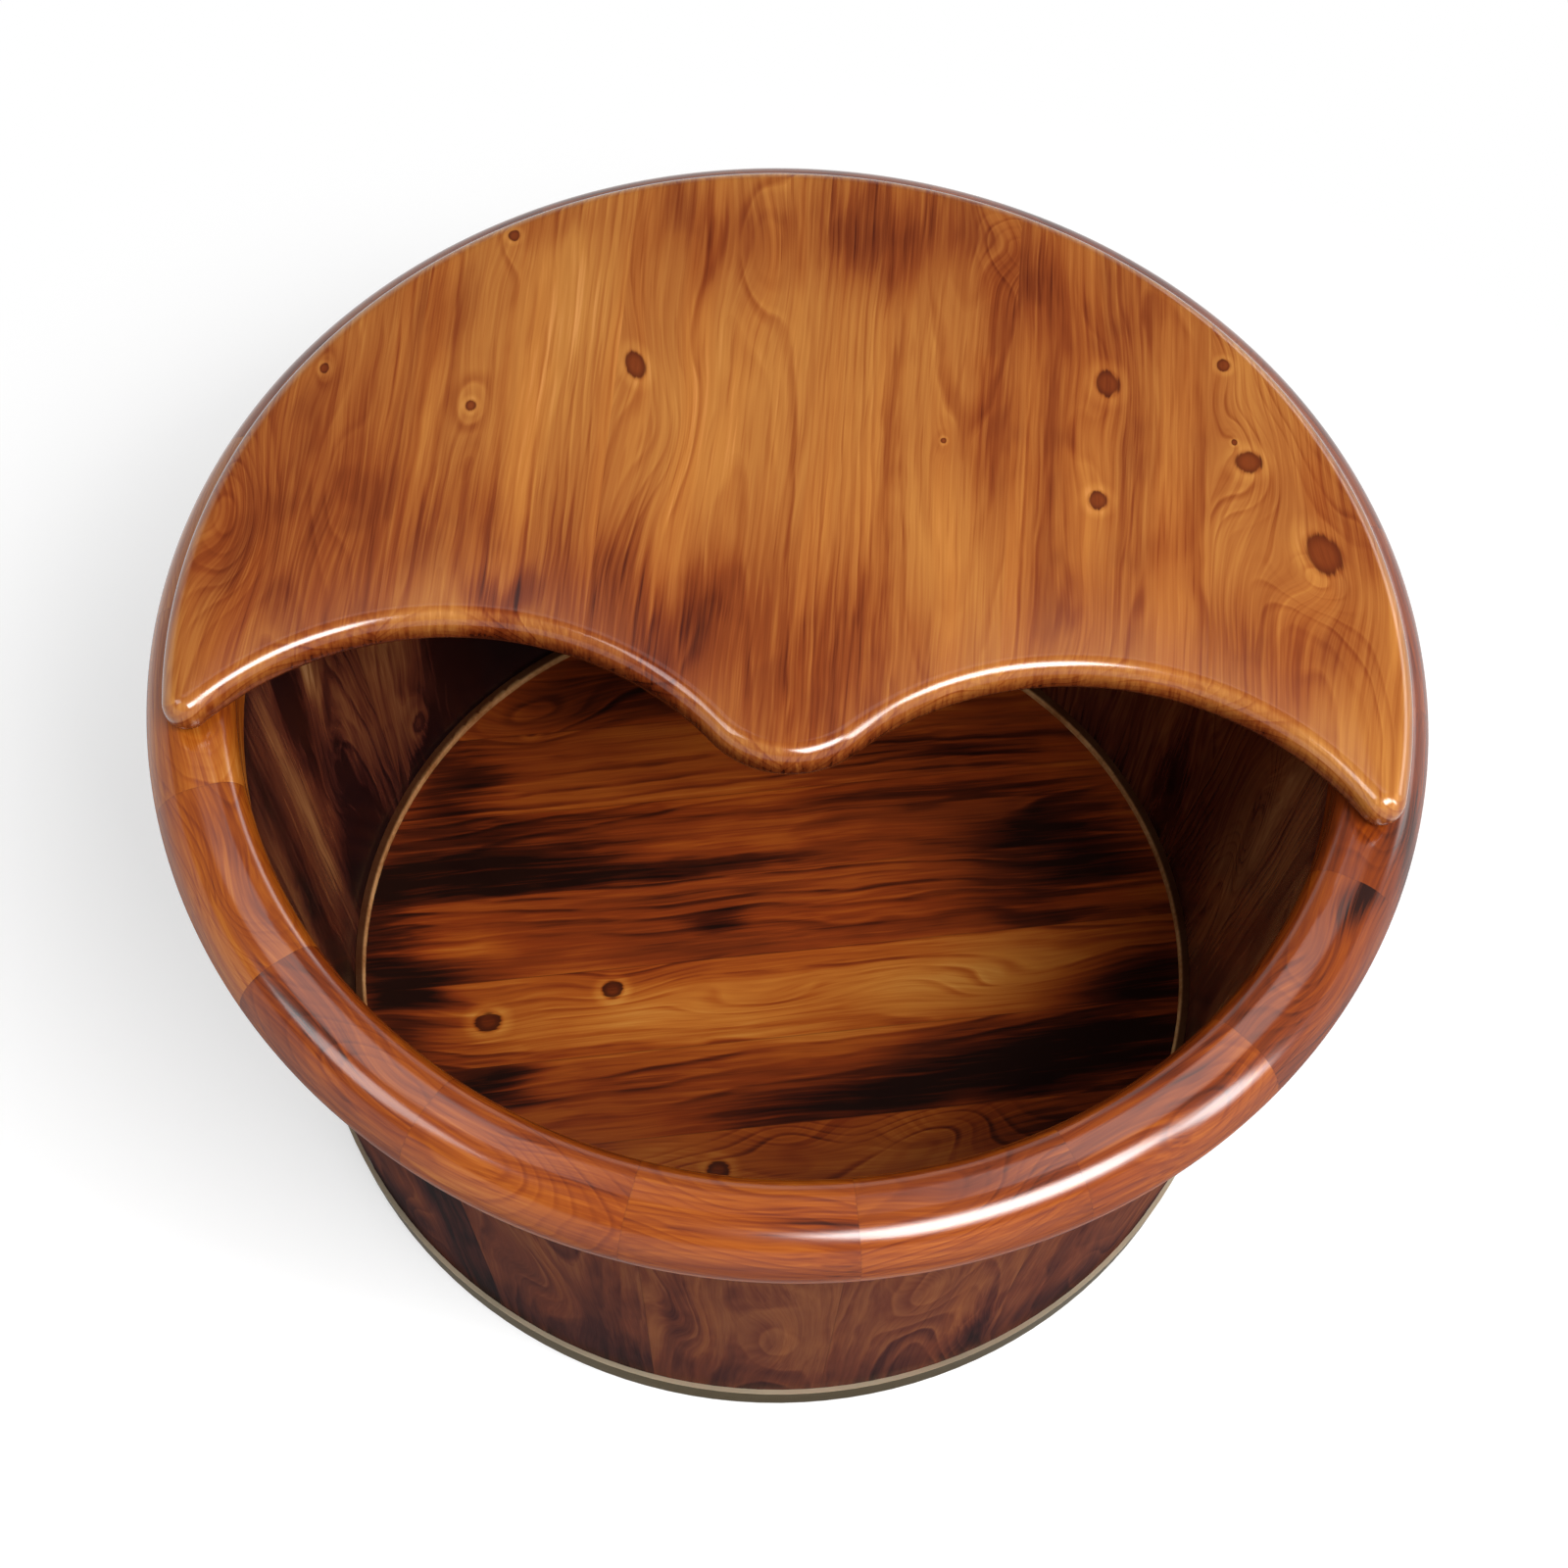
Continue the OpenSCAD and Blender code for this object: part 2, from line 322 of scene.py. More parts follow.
def knot_colour(graph, colour, distance, narrow, palette):
    """A knot is red-brown and darkens towards its ragged edge, which lies at a distance of 1."""
    ragged = graph.math("MULTIPLY_ADD", graph.off_middle(narrow), 0.9, distance)
    inside = graph.smooth(ragged, 0.85, 1.1, 0.95, 0.0)
    own = graph.smooth(ragged, 0.3, 1.0, 0.26, 0.1)
    own = graph.math("MULTIPLY_ADD", graph.off_middle(narrow), 0.4, own)
    return graph.mix(inside, colour, graph.ramp(own, palette))


def push_by_knots(graph, place, knots, swirls):
    """The push of knots and swirls on the rings, the pale halo round the knots, and distances to them."""
    bulge = 0.0
    halo = 0.0
    distances = []
    for centre, (long, wide), turn in knots:
        around = ellipse(graph, place, centre, (6 * long * MM, 3.2 * wide * MM), turn)
        bulge = graph.math("MULTIPLY_ADD", bell(graph, around), (1.2 * wide + 1.0) * MM, bulge)
        distance = graph.math("SQRT", ellipse(graph, place, centre, (long * MM, wide * MM), turn))
        outwards = graph.smooth(distance, 1.3, 2.3, 1.0, 0.0)
        ring = graph.math("MULTIPLY", graph.smooth(distance, 1.0, 1.3), outwards)
        halo = graph.math("MULTIPLY_ADD", ring, 0.13, halo)
        distances.append(distance)
    for centre, size, turn, rise in swirls:
        around = ellipse(graph, place, centre, size, turn)
        bulge = graph.math("MULTIPLY_ADD", bell(graph, around), rise * MM, bulge)
    return bulge, halo, distances


def late_wood(graph, bent, bulge, figure, patchy):
    """How dark the rings are. They are cylinders about a tilted pith, with a sharp outer edge to each."""
    inputs = {"Vector": bent, "Location": figure.pith, "Rotation": figure.tilt}
    about_pith = graph.node("Mapping", inputs, vector_type="TEXTURE").outputs[0]
    radius = graph.vector("LENGTH", graph.vector("MULTIPLY", about_pith, (0, 1, 1)))
    count = graph.math("DIVIDE", graph.math("ADD", radius, bulge), figure.ring_w)
    phase = graph.math("FRACT", count)
    late = graph.smooth(phase, figure.late_from, 0.85)
    late = graph.math("MULTIPLY", late, graph.smooth(phase, 0.86, 1.0, 1.0, 0.0))
    early = graph.smooth(phase, 0.0, 0.25, 0.3, 0.0)

    # Some rings are fainter than others, and each fades in places.
    inputs = {"W": graph.math("MULTIPLY", count, 0.43), "Scale": 1.0, "Detail": 1.0}
    uneven = graph.node("TexNoise", inputs, noise_dimensions="1D").outputs["Fac"]
    uneven = graph.smooth(uneven, 0.3, 0.7, 0.1, 1.0)
    late = graph.math("MULTIPLY", graph.math("SUBTRACT", late, early), uneven)
    return graph.math("MULTIPLY", late, graph.smooth(patchy, 0.3, 0.6, 0.25, 1.0))


def wood(name, board, figure, tone, palette, finish, knots=(), swirls=(), stains=(), seam=None, dull=None,
         shade=None):
    """A varnished wood.

    Knots, swirls and stains are in board coordinates. Seam gives the distance to the joints, dull gives
    1 where the varnish is rubbed flat, and shade gives painted light and shade that make a place paler or
    darker.
    """
    graph = Graph(name)
    row_place = graph.object_place()
    inputs = {"Vector": row_place, "Location": board.origin, "Rotation": board.turn()}
    place = graph.node("Mapping", inputs, vector_type="TEXTURE").outputs[0]

    # The grain wanders, and its streaks and fibres bend as the rings do.
    wander = graph.noise(place, (8, 20, 20), figure.offset, detail=3.0, output="Color")
    wander = graph.vector("SUBTRACT", wander, (0.5, 0.5, 0.5))
    bent = graph.vector("MULTIPLY_ADD", wander, (0, 2 * figure.wander, 2 * figure.wander), place)
    bulge, halo, distances = push_by_knots(graph, place, knots, swirls)
    patchy = graph.noise(place, (30, 60, 60), figure.offset, detail=2.0)
    late = late_wood(graph, bent, bulge, figure, patchy)
    along = graph.vector("ADD", bent, graph.node("CombineXYZ", {"Y": bulge}).outputs[0])
    broad = graph.noise(along, figure.scale(*BANDS), figure.offset, detail=2.0, roughness=0.55)
    narrow = graph.noise(along, figure.scale(*STREAKS), figure.offset, detail=3.0, roughness=0.6)
    fibre = graph.noise(along, figure.scale(*FIBRES), figure.offset, detail=1.0)
    stroke = graph.noise(along, figure.scale(*STROKES), figure.offset, detail=1.0)
    stroke = graph.smooth(stroke, 0.58, 0.72)
    cloud = graph.noise(place, (9, 16, 16), figure.offset, detail=3.0)
    streak = graph.math("MULTIPLY_ADD", narrow, 1.5, graph.math("MULTIPLY", fibre, 0.7))
    streak = graph.math("SUBTRACT", streak, 0.5 * (1.5 + 0.7))

    # Stains darken the streaks most, so that their edges break up along the grain.
    stain = stain_mask(graph, place, stains, narrow, broad, patchy) if stains else 0.0
    dark = graph.math("MAXIMUM", stain, 0.0)
    contrast = graph.math("MULTIPLY_ADD", dark, tone.streaks, tone.streaks)
    level = graph.math("MULTIPLY_ADD", graph.off_middle(cloud), tone.clouds, tone.level)
    level = graph.math("MULTIPLY_ADD", graph.off_middle(broad), tone.bands, level)
    level = graph.math("MULTIPLY_ADD", streak, contrast, level)
    level = graph.math("MULTIPLY_ADD", late, -tone.rings, level)
    level = graph.math("MULTIPLY_ADD", graph.math("MULTIPLY", stroke, patchy), -tone.strokes, level)
    level = graph.math("MULTIPLY_ADD", stain, -tone.stain, level)
    level = graph.math("ADD", level, halo)
    # Painted light and shade, among other marks, are added to the level here.
    if shade is not None:
        level = graph.math("ADD", level, shade(graph, row_place))
    colour = graph.ramp(level, palette)

    # Some bands are redder, and the stains have plum-coloured patches.
    red = graph.smooth(broad, 0.42, 0.68, 0.0, 0.6)
    colour = graph.mix(red, colour, REDDER, "MULTIPLY")
    plum = graph.smooth(patchy, 0.48, 0.66, 0.0, 0.6)
    plum = graph.math("MULTIPLY", graph.math("MINIMUM", dark, 1.0), plum)
    colour = graph.mix(plum, colour, PLUM, "MULTIPLY")
    for distance in distances:
        colour = knot_colour(graph, colour, distance, narrow, palette)

    # Pores and joints are sunk in the wood, and the varnish over them has only a slow ripple.
    pores = graph.noise(place, figure.scale(*PORES), figure.offset, detail=1.0)
    height = graph.math("MULTIPLY", pores, 0.6)
    if seam is not None:
        gap = graph.smooth(seam(graph, row_place, place), 0.05 * MM, 0.4 * MM, 1.0, 0.0)
        colour = graph.mix(graph.math("MULTIPLY", gap, tone.seam), colour, palette[0][1])
        height = graph.math("MULTIPLY_ADD", gap, -1.5, height)
    ripple = graph.noise(place, (22, 30, 30), figure.offset, detail=1.0)
    coat = finish.coat
    if dull is not None:
        rubbed = dull(graph, row_place)
        coat = graph.math("MULTIPLY_ADD", rubbed, finish.dull_coat - finish.coat, finish.coat)
    return graph.surface({
        "Base Color": colour,
        "Roughness": graph.math("MULTIPLY_ADD", narrow, 0.16, finish.roughness - 0.08),
        "Specular IOR Level": 0.0,
        "Normal": graph.bump(height, 0.05 * MM),
        "Coat Weight": coat,
        "Coat Roughness": finish.coat_roughness,
        "Coat Normal": graph.bump(ripple, finish.ripple * MM),
    })


def wedge_seam(angle):
    """The distance to the nearer side of a stave or rim segment whose middle is at that angle."""
    def distance(graph, row_place, place):
        inputs = {"Vector": row_place, "Rotation": (0, 0, angle)}
        local = graph.node("Mapping", inputs, vector_type="TEXTURE").outputs[0]
        parts = graph.split(local)
        side = graph.math("MULTIPLY", graph.math("ABSOLUTE", parts[1]), math.cos(STEP / 2))
        return graph.math("MULTIPLY_ADD", parts[0], math.sin(STEP / 2), graph.math("MULTIPLY", side, -1))
    return distance


def plank_seam(low, high):
    """The distance to the nearer side of a plank that lies between two values of V."""
    def distance(graph, row_place, place):
        across = graph.split(place)[1]
        off = graph.math("ABSOLUTE", graph.math("SUBTRACT", across, (low + high) / 2))
        return graph.math("SUBTRACT", (high - low) / 2, off)
    return distance


def paint(node, material):
    nodes[node].data.materials.clear()
    nodes[node].data.materials.append(material)


# Staves

# How pale each stave is, counted from the front and anticlockwise as seen from above.
STAVE_LEVELS = [
    0.57, 0.52, 0.48, 0.54, 0.56, 0.62, 0.52, 0.46, 0.42,
    0.46, 0.40, 0.32, 0.50, 0.44, 0.46, 0.40, 0.32, 0.47,
]

# Knots, swirls, stains and painted light of the staves that the photograph shows well, kept as the floor's
# are.
STAVE_KNOTS = {
    12: [((-0.063, -0.009), (6.0, 3.6), 0.0)],
}
STAVE_SWIRLS = {
    0: [((-0.019, -0.013), (0.050, 0.012), 0.0, 13), ((0.020, 0.024), (0.06, 0.008), 0.2, 8)],
    1: [((0.030, 0.001), (0.050, 0.013), -0.1, 16), ((-0.060, -0.02), (0.04, 0.01), 0.2, 7)],
    2: [((-0.055, -0.010), (0.045, 0.010), 0.2, 10)],
    17: [((0.010, 0.010), (0.050, 0.012), 0.2, 12)],
}
STAVE_STAINS_AND_LIGHT = {
    0: [((0.010, 0.022), (0.07, 0.005), 0.9)],
    1: [((-0.045, -0.026), (0.05, 0.009), 1.1), ((0.030, 0.001), (0.020, 0.004), -0.4)],
    2: [((0.0, 0.012), (0.08, 0.010), 0.6)],
    5: [((-0.040, 0.001), (0.06, 0.010), -0.5), ((0.030, 0.022), (0.06, 0.006), -0.6)],
    6: [((-0.050, 0.012), (0.05, 0.014), 0.9)],
    11: [((-0.04, 0.0), (0.10, 0.03), 0.8)],
    12: [
        ((-0.010, -0.016), (0.080, 0.011), -0.5),
        ((-0.040, 0.020), (0.110, 0.013), 2.0),
        ((-0.110, -0.008), (0.032, 0.024), 1.8),
    ],
    13: [
        # Painted light: a pale patch where light falls on the upper inner wall.
        ((0.066, 0.001), (0.040, 0.007), -1.8),
        ((0.060, -0.018), (0.045, 0.009), 2.0),
        ((-0.010, 0.013), (0.060, 0.008), -0.3),
        ((-0.070, -0.004), (0.060, 0.018), 1.5),
    ],
    14: [((0.0, 0.024), (0.13, 0.005), -0.9), ((0.02, -0.004), (0.12, 0.014), 1.1)],
    16: [((0.0, -0.024), (0.11, 0.014), 1.0)],
    17: [((-0.03, -0.020), (0.10, 0.010), 0.6)],
}
# The staves at the front have a broad, wavy figure, and the others a straighter one.
BROAD_FIGURED = (0, 1, 2, 3, 15, 16, 17)


def random_stains(draw, along, across, long, wide, strength):
    """Three stains, each measure of which is drawn between its two limits."""
    stains = []
    for _ in range(3):
        centre = (draw.uniform(*along), draw.uniform(*across))
        size = (draw.uniform(*long), draw.uniform(*wide))
        stains.append((centre, size, draw.uniform(*strength)))
    return stains


def outside_wall(graph, row_place):
    """1 on the outer faces of the staves, which are satin, and 0 on the glossy inner ones."""
    flat = graph.vector("MULTIPLY", row_place, (1, 1, 0))
    height = graph.split(row_place)[2]
    radius = graph.vector("LENGTH", flat)
    middle = graph.math("MULTIPLY_ADD", height, math.tan(WALL_LEAN), FOOT_R - WALL_T / 2)
    return graph.smooth(graph.math("SUBTRACT", radius, middle), -1 * MM, 1 * MM)


def stave_shade(graph, row_place):
    """Staves are darker towards the foot, and painted shade darkens the corner under the rim."""
    height = graph.split(row_place)[2]
    foot = graph.smooth(height, 22 * MM, 90 * MM, -0.22, 0.0)
    # The darkening just under the rim is painted shade.
    return graph.math("ADD", foot, graph.smooth(height, RIM_LOW - 14 * MM, RIM_LOW, 0.0, -0.2))


def random_swirls(draw):
    swirls = []
    for _ in range(2):
        centre = (draw.uniform(-0.09, 0.09), draw.uniform(-0.022, 0.022))
        size = (draw.uniform(0.018, 0.045), draw.uniform(0.007, 0.014))
        swirls.append((centre, size, draw.uniform(-0.3, 0.3), draw.uniform(6, 13)))
    return swirls


def dress_staves():
    finish = Finish(coat=0.7, coat_roughness=0.22, roughness=0.5, ripple=0.03, dull_coat=0.04)
    for index in range(STAVES):
        draw = random.Random(150 + index)
        angle = FRONT + index * STEP
        outward = level_vector(angle)
        upward = Vector((0, 0, 1))
        grain = outward * math.sin(WALL_LEAN) + upward * math.cos(WALL_LEAN)
        normal = outward * math.cos(WALL_LEAN) - upward * math.sin(WALL_LEAN)
        board = Board(outward * STAVE_MID_R + upward * RIM_LOW / 2, grain, normal)
        level = STAVE_LEVELS[index]
        if index in BROAD_FIGURED:
            figure = Figure(
                100 + index, pith_depth=(0.010, 0.022), pith_side=0.01, tilt=0.09,
                ring_w=(4.0, 5.5), wander=6.0, late_from=0.1,
            )
            tone = Tone(
                level, rings=0.24, streaks=0.16, bands=0.3, clouds=0.5, stain=0.24, strokes=0.06, seam=0.2,
            )
        else:
            figure = Figure(100 + index, pith_depth=(0.012, 0.05), pith_side=0.02, tilt=0.07, wander=7.0)
            tone = Tone(
                level, rings=0.26, streaks=0.34, bands=0.6, clouds=0.8, stain=0.36, strokes=0.1, seam=0.3,
            )
        swirls = STAVE_SWIRLS.get(index) or random_swirls(draw)
        stains = STAVE_STAINS_AND_LIGHT.get(index) or random_stains(
            draw, along=(-0.11, 0.08), across=(-0.03, 0.03), long=(0.02, 0.05), wide=(0.006, 0.016),
            strength=(-0.3, 0.9),
        )
        material = wood(
            f"stave_wood_{index + 1:02d}", board, figure, tone, WALL_PALETTE, finish,
            knots=STAVE_KNOTS.get(index, ()), swirls=swirls, stains=stains,
            seam=wedge_seam(angle), dull=outside_wall, shade=stave_shade,
        )
        paint(f"stave_{index + 1:02d}", material)


# Rim

# How pale each rim segment is, counted as the staves are.
RIM_LEVELS = [
    0.55, 0.54, 0.53, 0.50, 0.44, 0.44, 0.48, 0.52, 0.54,
    0.54, 0.56, 0.58, 0.64, 0.74, 0.70, 0.63, 0.50, 0.48,
]
RIM_STAINS = {
    3: [((0.027, -0.001), (0.013, 0.0060), 1.7)],
}


def below_crown(graph, row_place):
    """1 on the flanks of the rim, which hands and feet rub dull, and 0 on its crown."""
    height = graph.split(row_place)[2]
    return graph.smooth(height, TUB_TOP - 14 * MM, TUB_TOP - 6 * MM, 1.0, 0.0)


def dress_rim():
    finish = Finish(coat_roughness=0.16, roughness=0.4, ripple=0.04, dull_coat=0.25)
    for index in range(STAVES):
        draw = random.Random(250 + index)
        angle = FRONT + index * STEP
        middle = level_vector(angle) * RIM_MID_R + Vector((0, 0, (TUB_TOP + RIM_LOW) / 2))
        board = Board(middle, level_vector(angle + math.pi / 2), (0, 0, 1))
        figure = Figure(
            200 + index, pith_depth=(0.01, 0.04), pith_side=0.02, tilt=0.3, ring_w=(1.5, 2.6), wander=5.0,
        )
        centre = (draw.uniform(-0.02, 0.02), draw.uniform(-0.010, 0.010))
        swirls = [(centre, (0.024, 0.013), draw.uniform(-0.4, 0.4), draw.uniform(5, 11))]
        stains = [*RIM_STAINS.get(index, ())]
        stains += random_stains(
            draw, along=(-0.03, 0.03), across=(-0.013, 0.013), long=(0.012, 0.03), wide=(0.003, 0.007),
            strength=(-0.5, 0.9),
        )
        tone = Tone(
            RIM_LEVELS[index], rings=0.16, streaks=0.38, bands=0.4, clouds=0.5, stain=0.26, seam=0.12,
        )
        material = wood(
            f"rim_wood_{index + 1:02d}", board, figure, tone, RIM_PALETTE, finish,
            swirls=swirls, stains=stains, seam=wedge_seam(angle), dull=below_crown,
        )
        paint(f"rim_segment_{index + 1:02d}", material)


# Floor

FLOOR_LEVELS = [0.42, 0.50, 0.43, 0.43, 0.41, 0.43, 0.47, 0.46]

# Knots are (centre, half sizes in millimetres, turn), in board coordinates, for each plank.
FLOOR_KNOTS = {
    2: [((-0.033, -0.0903), (4.5, 4.0), 0.2)],
    4: [((-0.066, -0.0085), (4.2, 3.8), 0.3), ((-0.1165, -0.0170), (5.2, 4.6), 0.1)],
    7: [((-0.088, 0.1145), (3.0, 2.6), 0.0)],
}
# Swirls are (centre, half sizes, turn, rise in millimetres).
FLOOR_SWIRLS = {
    2: [((0.052, -0.085), (0.030, 0.012), 0.3, 12), ((0.000, -0.082), (0.022, 0.010), -0.3, 8)],
    4: [((-0.008, -0.020), (0.034, 0.008), 0.0, 7), ((0.098, -0.021), (0.036, 0.010), 0.1, 6)],
    8: [((-0.087, 0.121), (0.03, 0.012), 0.2, 9)],
}
# Stains are (centre, half sizes, strength), in metres along and across the boards. A strength
# below zero marks a pale part. The first ones cross several planks.
FLOOR_CLOUDS = [
    ((-0.085, -0.018), (0.050, 0.020), -0.8),
    ((0.010, -0.024), (0.075, 0.021), -0.8),
    ((0.080, -0.018), (0.050, 0.017), -0.45),
    ((-0.115, 0.016), (0.018, 0.007), -0.5),
    ((0.060, 0.002), (0.040, 0.006), -0.3),
    ((-0.158, 0.010), (0.020, 0.055), 0.9),
    ((0.120, 0.034), (0.036, 0.024), 1.2),
]
FLOOR_STAINS = {
    1: [((0.06, -0.13), (0.07, 0.03), 0.6)],
    2: [((0.115, -0.088), (0.045, 0.018), 1.0), ((-0.11, -0.085), (0.03, 0.02), 0.6)],
    3: [
        ((0.115, -0.056), (0.075, 0.017), 1.5),
        ((0.020, -0.067), (0.055, 0.009), 0.9),
        ((-0.128, -0.044), (0.018, 0.009), 1.2),
    ],
    4: [((-0.155, -0.003), (0.018, 0.004), 1.0), ((0.145, -0.028), (0.030, 0.012), 1.3)],
    5: [((-0.018, 0.019), (0.014, 0.006), 0.7), ((-0.060, 0.034), (0.090, 0.003), -0.2)],
    6: [
        ((-0.115, 0.049), (0.056, 0.013), 1.3),
        ((-0.025, 0.043), (0.050, 0.004), 1.0),
        ((0.060, 0.068), (0.080, 0.006), 0.6),
        ((-0.100, 0.070), (0.050, 0.006), 0.5),
    ],
    7: [((0.060, 0.086), (0.070, 0.010), 0.6), ((-0.125, 0.090), (0.018, 0.02), 0.8)],
    8: [((0.02, 0.13), (0.10, 0.02), 0.6)],
}


def floor_seam(index):
    return FLOOR_SEAM + (index - FLOOR_PLANKS / 2) * FLOOR_PLANK_W


def dress_floor():
    finish = Finish(coat=0.5, coat_roughness=0.3, roughness=0.5, ripple=0.02)
    grain = Vector((math.cos(FLOOR_TURN), math.sin(FLOOR_TURN), 0))
    board = Board((0, 0, FLOOR_TOP), grain, (0, 0, 1))
    for index in range(1, FLOOR_PLANKS + 1):
        low = floor_seam(index - 1)
        high = floor_seam(index)
        figure = Figure(
            300 + index, pith_depth=(0.02, 0.05), pith_side=0.03, tilt=0.05, ring_w=(2.6, 4.2), wander=5.0,
        )
        figure.pith = (0, (low + high) / 2 + figure.pith[1], figure.pith[2])
        tone = Tone(
            FLOOR_LEVELS[index - 1], rings=0.24, streaks=0.24, bands=0.4, clouds=0.6, stain=0.34,
            strokes=0.12, seam=0.35,
        )
        material = wood(
            f"floor_wood_{index}", board, figure, tone, FLOOR_PALETTE, finish,
            knots=FLOOR_KNOTS.get(index, ()), swirls=FLOOR_SWIRLS.get(index, ()),
            stains=FLOOR_CLOUDS + FLOOR_STAINS[index], seam=plank_seam(low, high),
        )
        paint(f"floor_plank_{index}", material)


# Lid

# Knots are (x, y, half length, half width, turn), the halves in millimetres.
LID_KNOTS = [
    (-0.1125, 0.157, 2.4, 2.0, 0.0),
    (-0.1720, 0.092, 2.0, 1.6, 0.0),
    (-0.1190, 0.081, 2.4, 1.8, 0.0),
    (-0.0636, 0.104, 6.0, 3.4, 0.35),
    (0.1030, 0.112, 5.5, 4.2, 0.2),
    (0.1010, 0.062, 3.8, 3.4, 0.0),
    (0.1440, 0.124, 2.6, 2.4, 0.0),
    (0.1530, 0.083, 4.6, 4.6, 0.0),
    (0.1480, 0.091, 1.2, 1.0, 0.0),
    (0.0465, 0.082, 1.2, 1.0, 0.0),
    (0.1790, 0.047, 8.6, 6.2, 0.45),
]
# Swirls are (x, y, half length, half width, turn, rise in millimetres), the halves in metres.
LID_SWIRLS = [
    (-0.194, 0.025, 0.030, 0.013, 0.1, 14),
    (0.068, 0.169, 0.016, 0.011, 0.6, 8),
    (0.097, 0.015, 0.034, 0.011, 0.0, 7),
    (0.175, 0.036, 0.014, 0.010, 0.9, 6),
    (-0.052, 0.070, 0.034, 0.013, -0.3, 6),
    (-0.022, 0.160, 0.030, 0.010, 0.1, 7),
    (-0.160, 0.045, 0.030, 0.010, 0.1, 5),
]
# Stains are (x, y, half width, half length, strength), in metres. Below zero is a pale part.
LID_STAINS = [
    (0.020, 0.170, 0.032, 0.024, 1.1),
    (-0.040, 0.168, 0.026, 0.018, 0.7),
    (-0.098, 0.166, 0.014, 0.012, 0.6),
    (0.074, 0.158, 0.018, 0.026, 0.9),
    (0.064, 0.105, 0.009, 0.055, 0.8),
    (0.085, 0.085, 0.007, 0.075, 0.8),
    (0.104, 0.135, 0.016, 0.032, 0.7),
    (0.112, 0.075, 0.008, 0.050, 0.7),
    (0.135, 0.110, 0.010, 0.050, 0.4),
    (-0.140, 0.120, 0.018, 0.036, 0.5),
    (-0.190, 0.030, 0.024, 0.070, 1.1),
    (-0.150, 0.020, 0.022, 0.060, 0.9),
    (-0.112, 0.028, 0.020, 0.030, 0.9),
    (-0.100, 0.008, 0.012, 0.010, 1.1),
    (-0.060, 0.004, 0.034, 0.028, 1.1),
    (-0.030, -0.010, 0.022, 0.026, 0.7),
    (0.016, -0.004, 0.026, 0.034, 1.0),
    (0.000, -0.050, 0.036, 0.032, 0.55),
    (0.028, 0.070, 0.003, 0.055, 0.7),
    (0.095, 0.010, 0.020, 0.030, 0.5),
    (0.165, 0.003, 0.034, 0.024, 0.9),
    (0.192, 0.045, 0.009, 0.020, 1.0),
    (0.182, 0.085, 0.010, 0.034, 0.7),
    (0.170, 0.060, 0.020, 0.040, 0.3),
    (-0.088, 0.120, 0.016, 0.050, -0.4),
    (0.000, 0.085, 0.036, 0.050, -0.25),
    (0.048, 0.035, 0.018, 0.040, -0.35),
    (-0.040, 0.075, 0.020, 0.040, -0.2),
]
LID_LEVELS = [0.74, 0.72, 0.71, 0.70, 0.73, 0.75]

LID_R = RIM_R - 10 * MM
LID_BACK = -10 * MM
LEG_X = LID_R / 2
LEG_R = LEG_X + 9 * MM
LEG_Y = LEG_R - 3 * MM
TONGUE_R = 35 * MM
TONGUE_Y = LEG_Y - math.sqrt((LEG_R + TONGUE_R) ** 2 - LEG_X ** 2)
TIP_R = 8 * MM
LID_EDGE_R = 7 * MM
LID_EDGE_STEPS = 10
LID_PITCH = 1.5 * MM


def tip_centre():
    """Centre of the right front tip's round, on the lid's own centre."""
    edge = LID_R - TIP_R
    leg = LEG_R + TIP_R
    apart = math.hypot(LEG_X, LEG_Y)
    along = (edge ** 2 - leg ** 2 + apart ** 2) / (2 * apart)
    across = math.sqrt(edge ** 2 - along ** 2)
    to_leg = Vector((LEG_X, -LEG_Y)) / apart
    return along * to_leg + across * Vector((-to_leg.y, to_leg.x))


def heading(point):
    return math.atan2(point[1], point[0])


def lid_arcs(number, inset):
    """Curved edges of plank 1, 2 or 3 right of the middle, moved inwards: centre, radius and angles."""
    left = (number - 1) * LID_PLANK_W
    right = number * LID_PLANK_W
    edge = LID_R - inset
    cut = LEG_R + inset
    leg = Vector((LEG_X, -LEG_Y))
    tip = tip_centre()
    tongue = Vector((0, -TONGUE_Y))
    outer = number == LID_PLANKS // 2
    edge_from = heading(tip) if outer else math.acos(right / edge)
    cut_from = heading(tongue - leg) if number == 1 else math.acos((left - LEG_X) / cut)
    cut_to = heading(tip - leg) if outer else math.acos((right - LEG_X) / cut)
    arcs = [((0, 0), edge, edge_from, math.acos(left / edge))]
    if number == 1:
        arcs.append((tongue, TONGUE_R - inset, -math.pi / 2, heading(leg - tongue)))
    arcs.append((leg, cut, cut_from, cut_to))
    if outer:
        arcs.append((tip, TIP_R - inset, heading(leg - tip), heading(tip)))
    return arcs


def lid_loop(number, inset):
    """The outline of a plank, with the same number of points at every inset, so that the loops join up."""
    points = []
    for arc, full_arc in zip(lid_arcs(number, inset), lid_arcs(number, 0)):
        centre, radius, start, end = arc
        _, full_radius, full_start, full_end = full_arc
        steps = max(2, round(abs(full_end - full_start) * full_radius / LID_PITCH))
        for i in range(steps + 1):
            angle = start + (end - start) * i / steps
            x = centre[0] + radius * math.cos(angle)
            y = centre[1] + radius * math.sin(angle)
            points.append(Vector((x, y)))
    return [point for i, point in enumerate(points) if (point - points[i - 1]).length > 1e-7]


def finish_mesh(mesh, name, sharp):
    data = bpy.data.meshes.new(name)
    mesh.to_mesh(data)
    mesh.free()
    data.shade_smooth()
    data.set_sharp_from_angle(angle=sharp)
    piece = bpy.data.objects.new(name, data)
    bpy.context.scene.collection.objects.link(piece)
    return piece


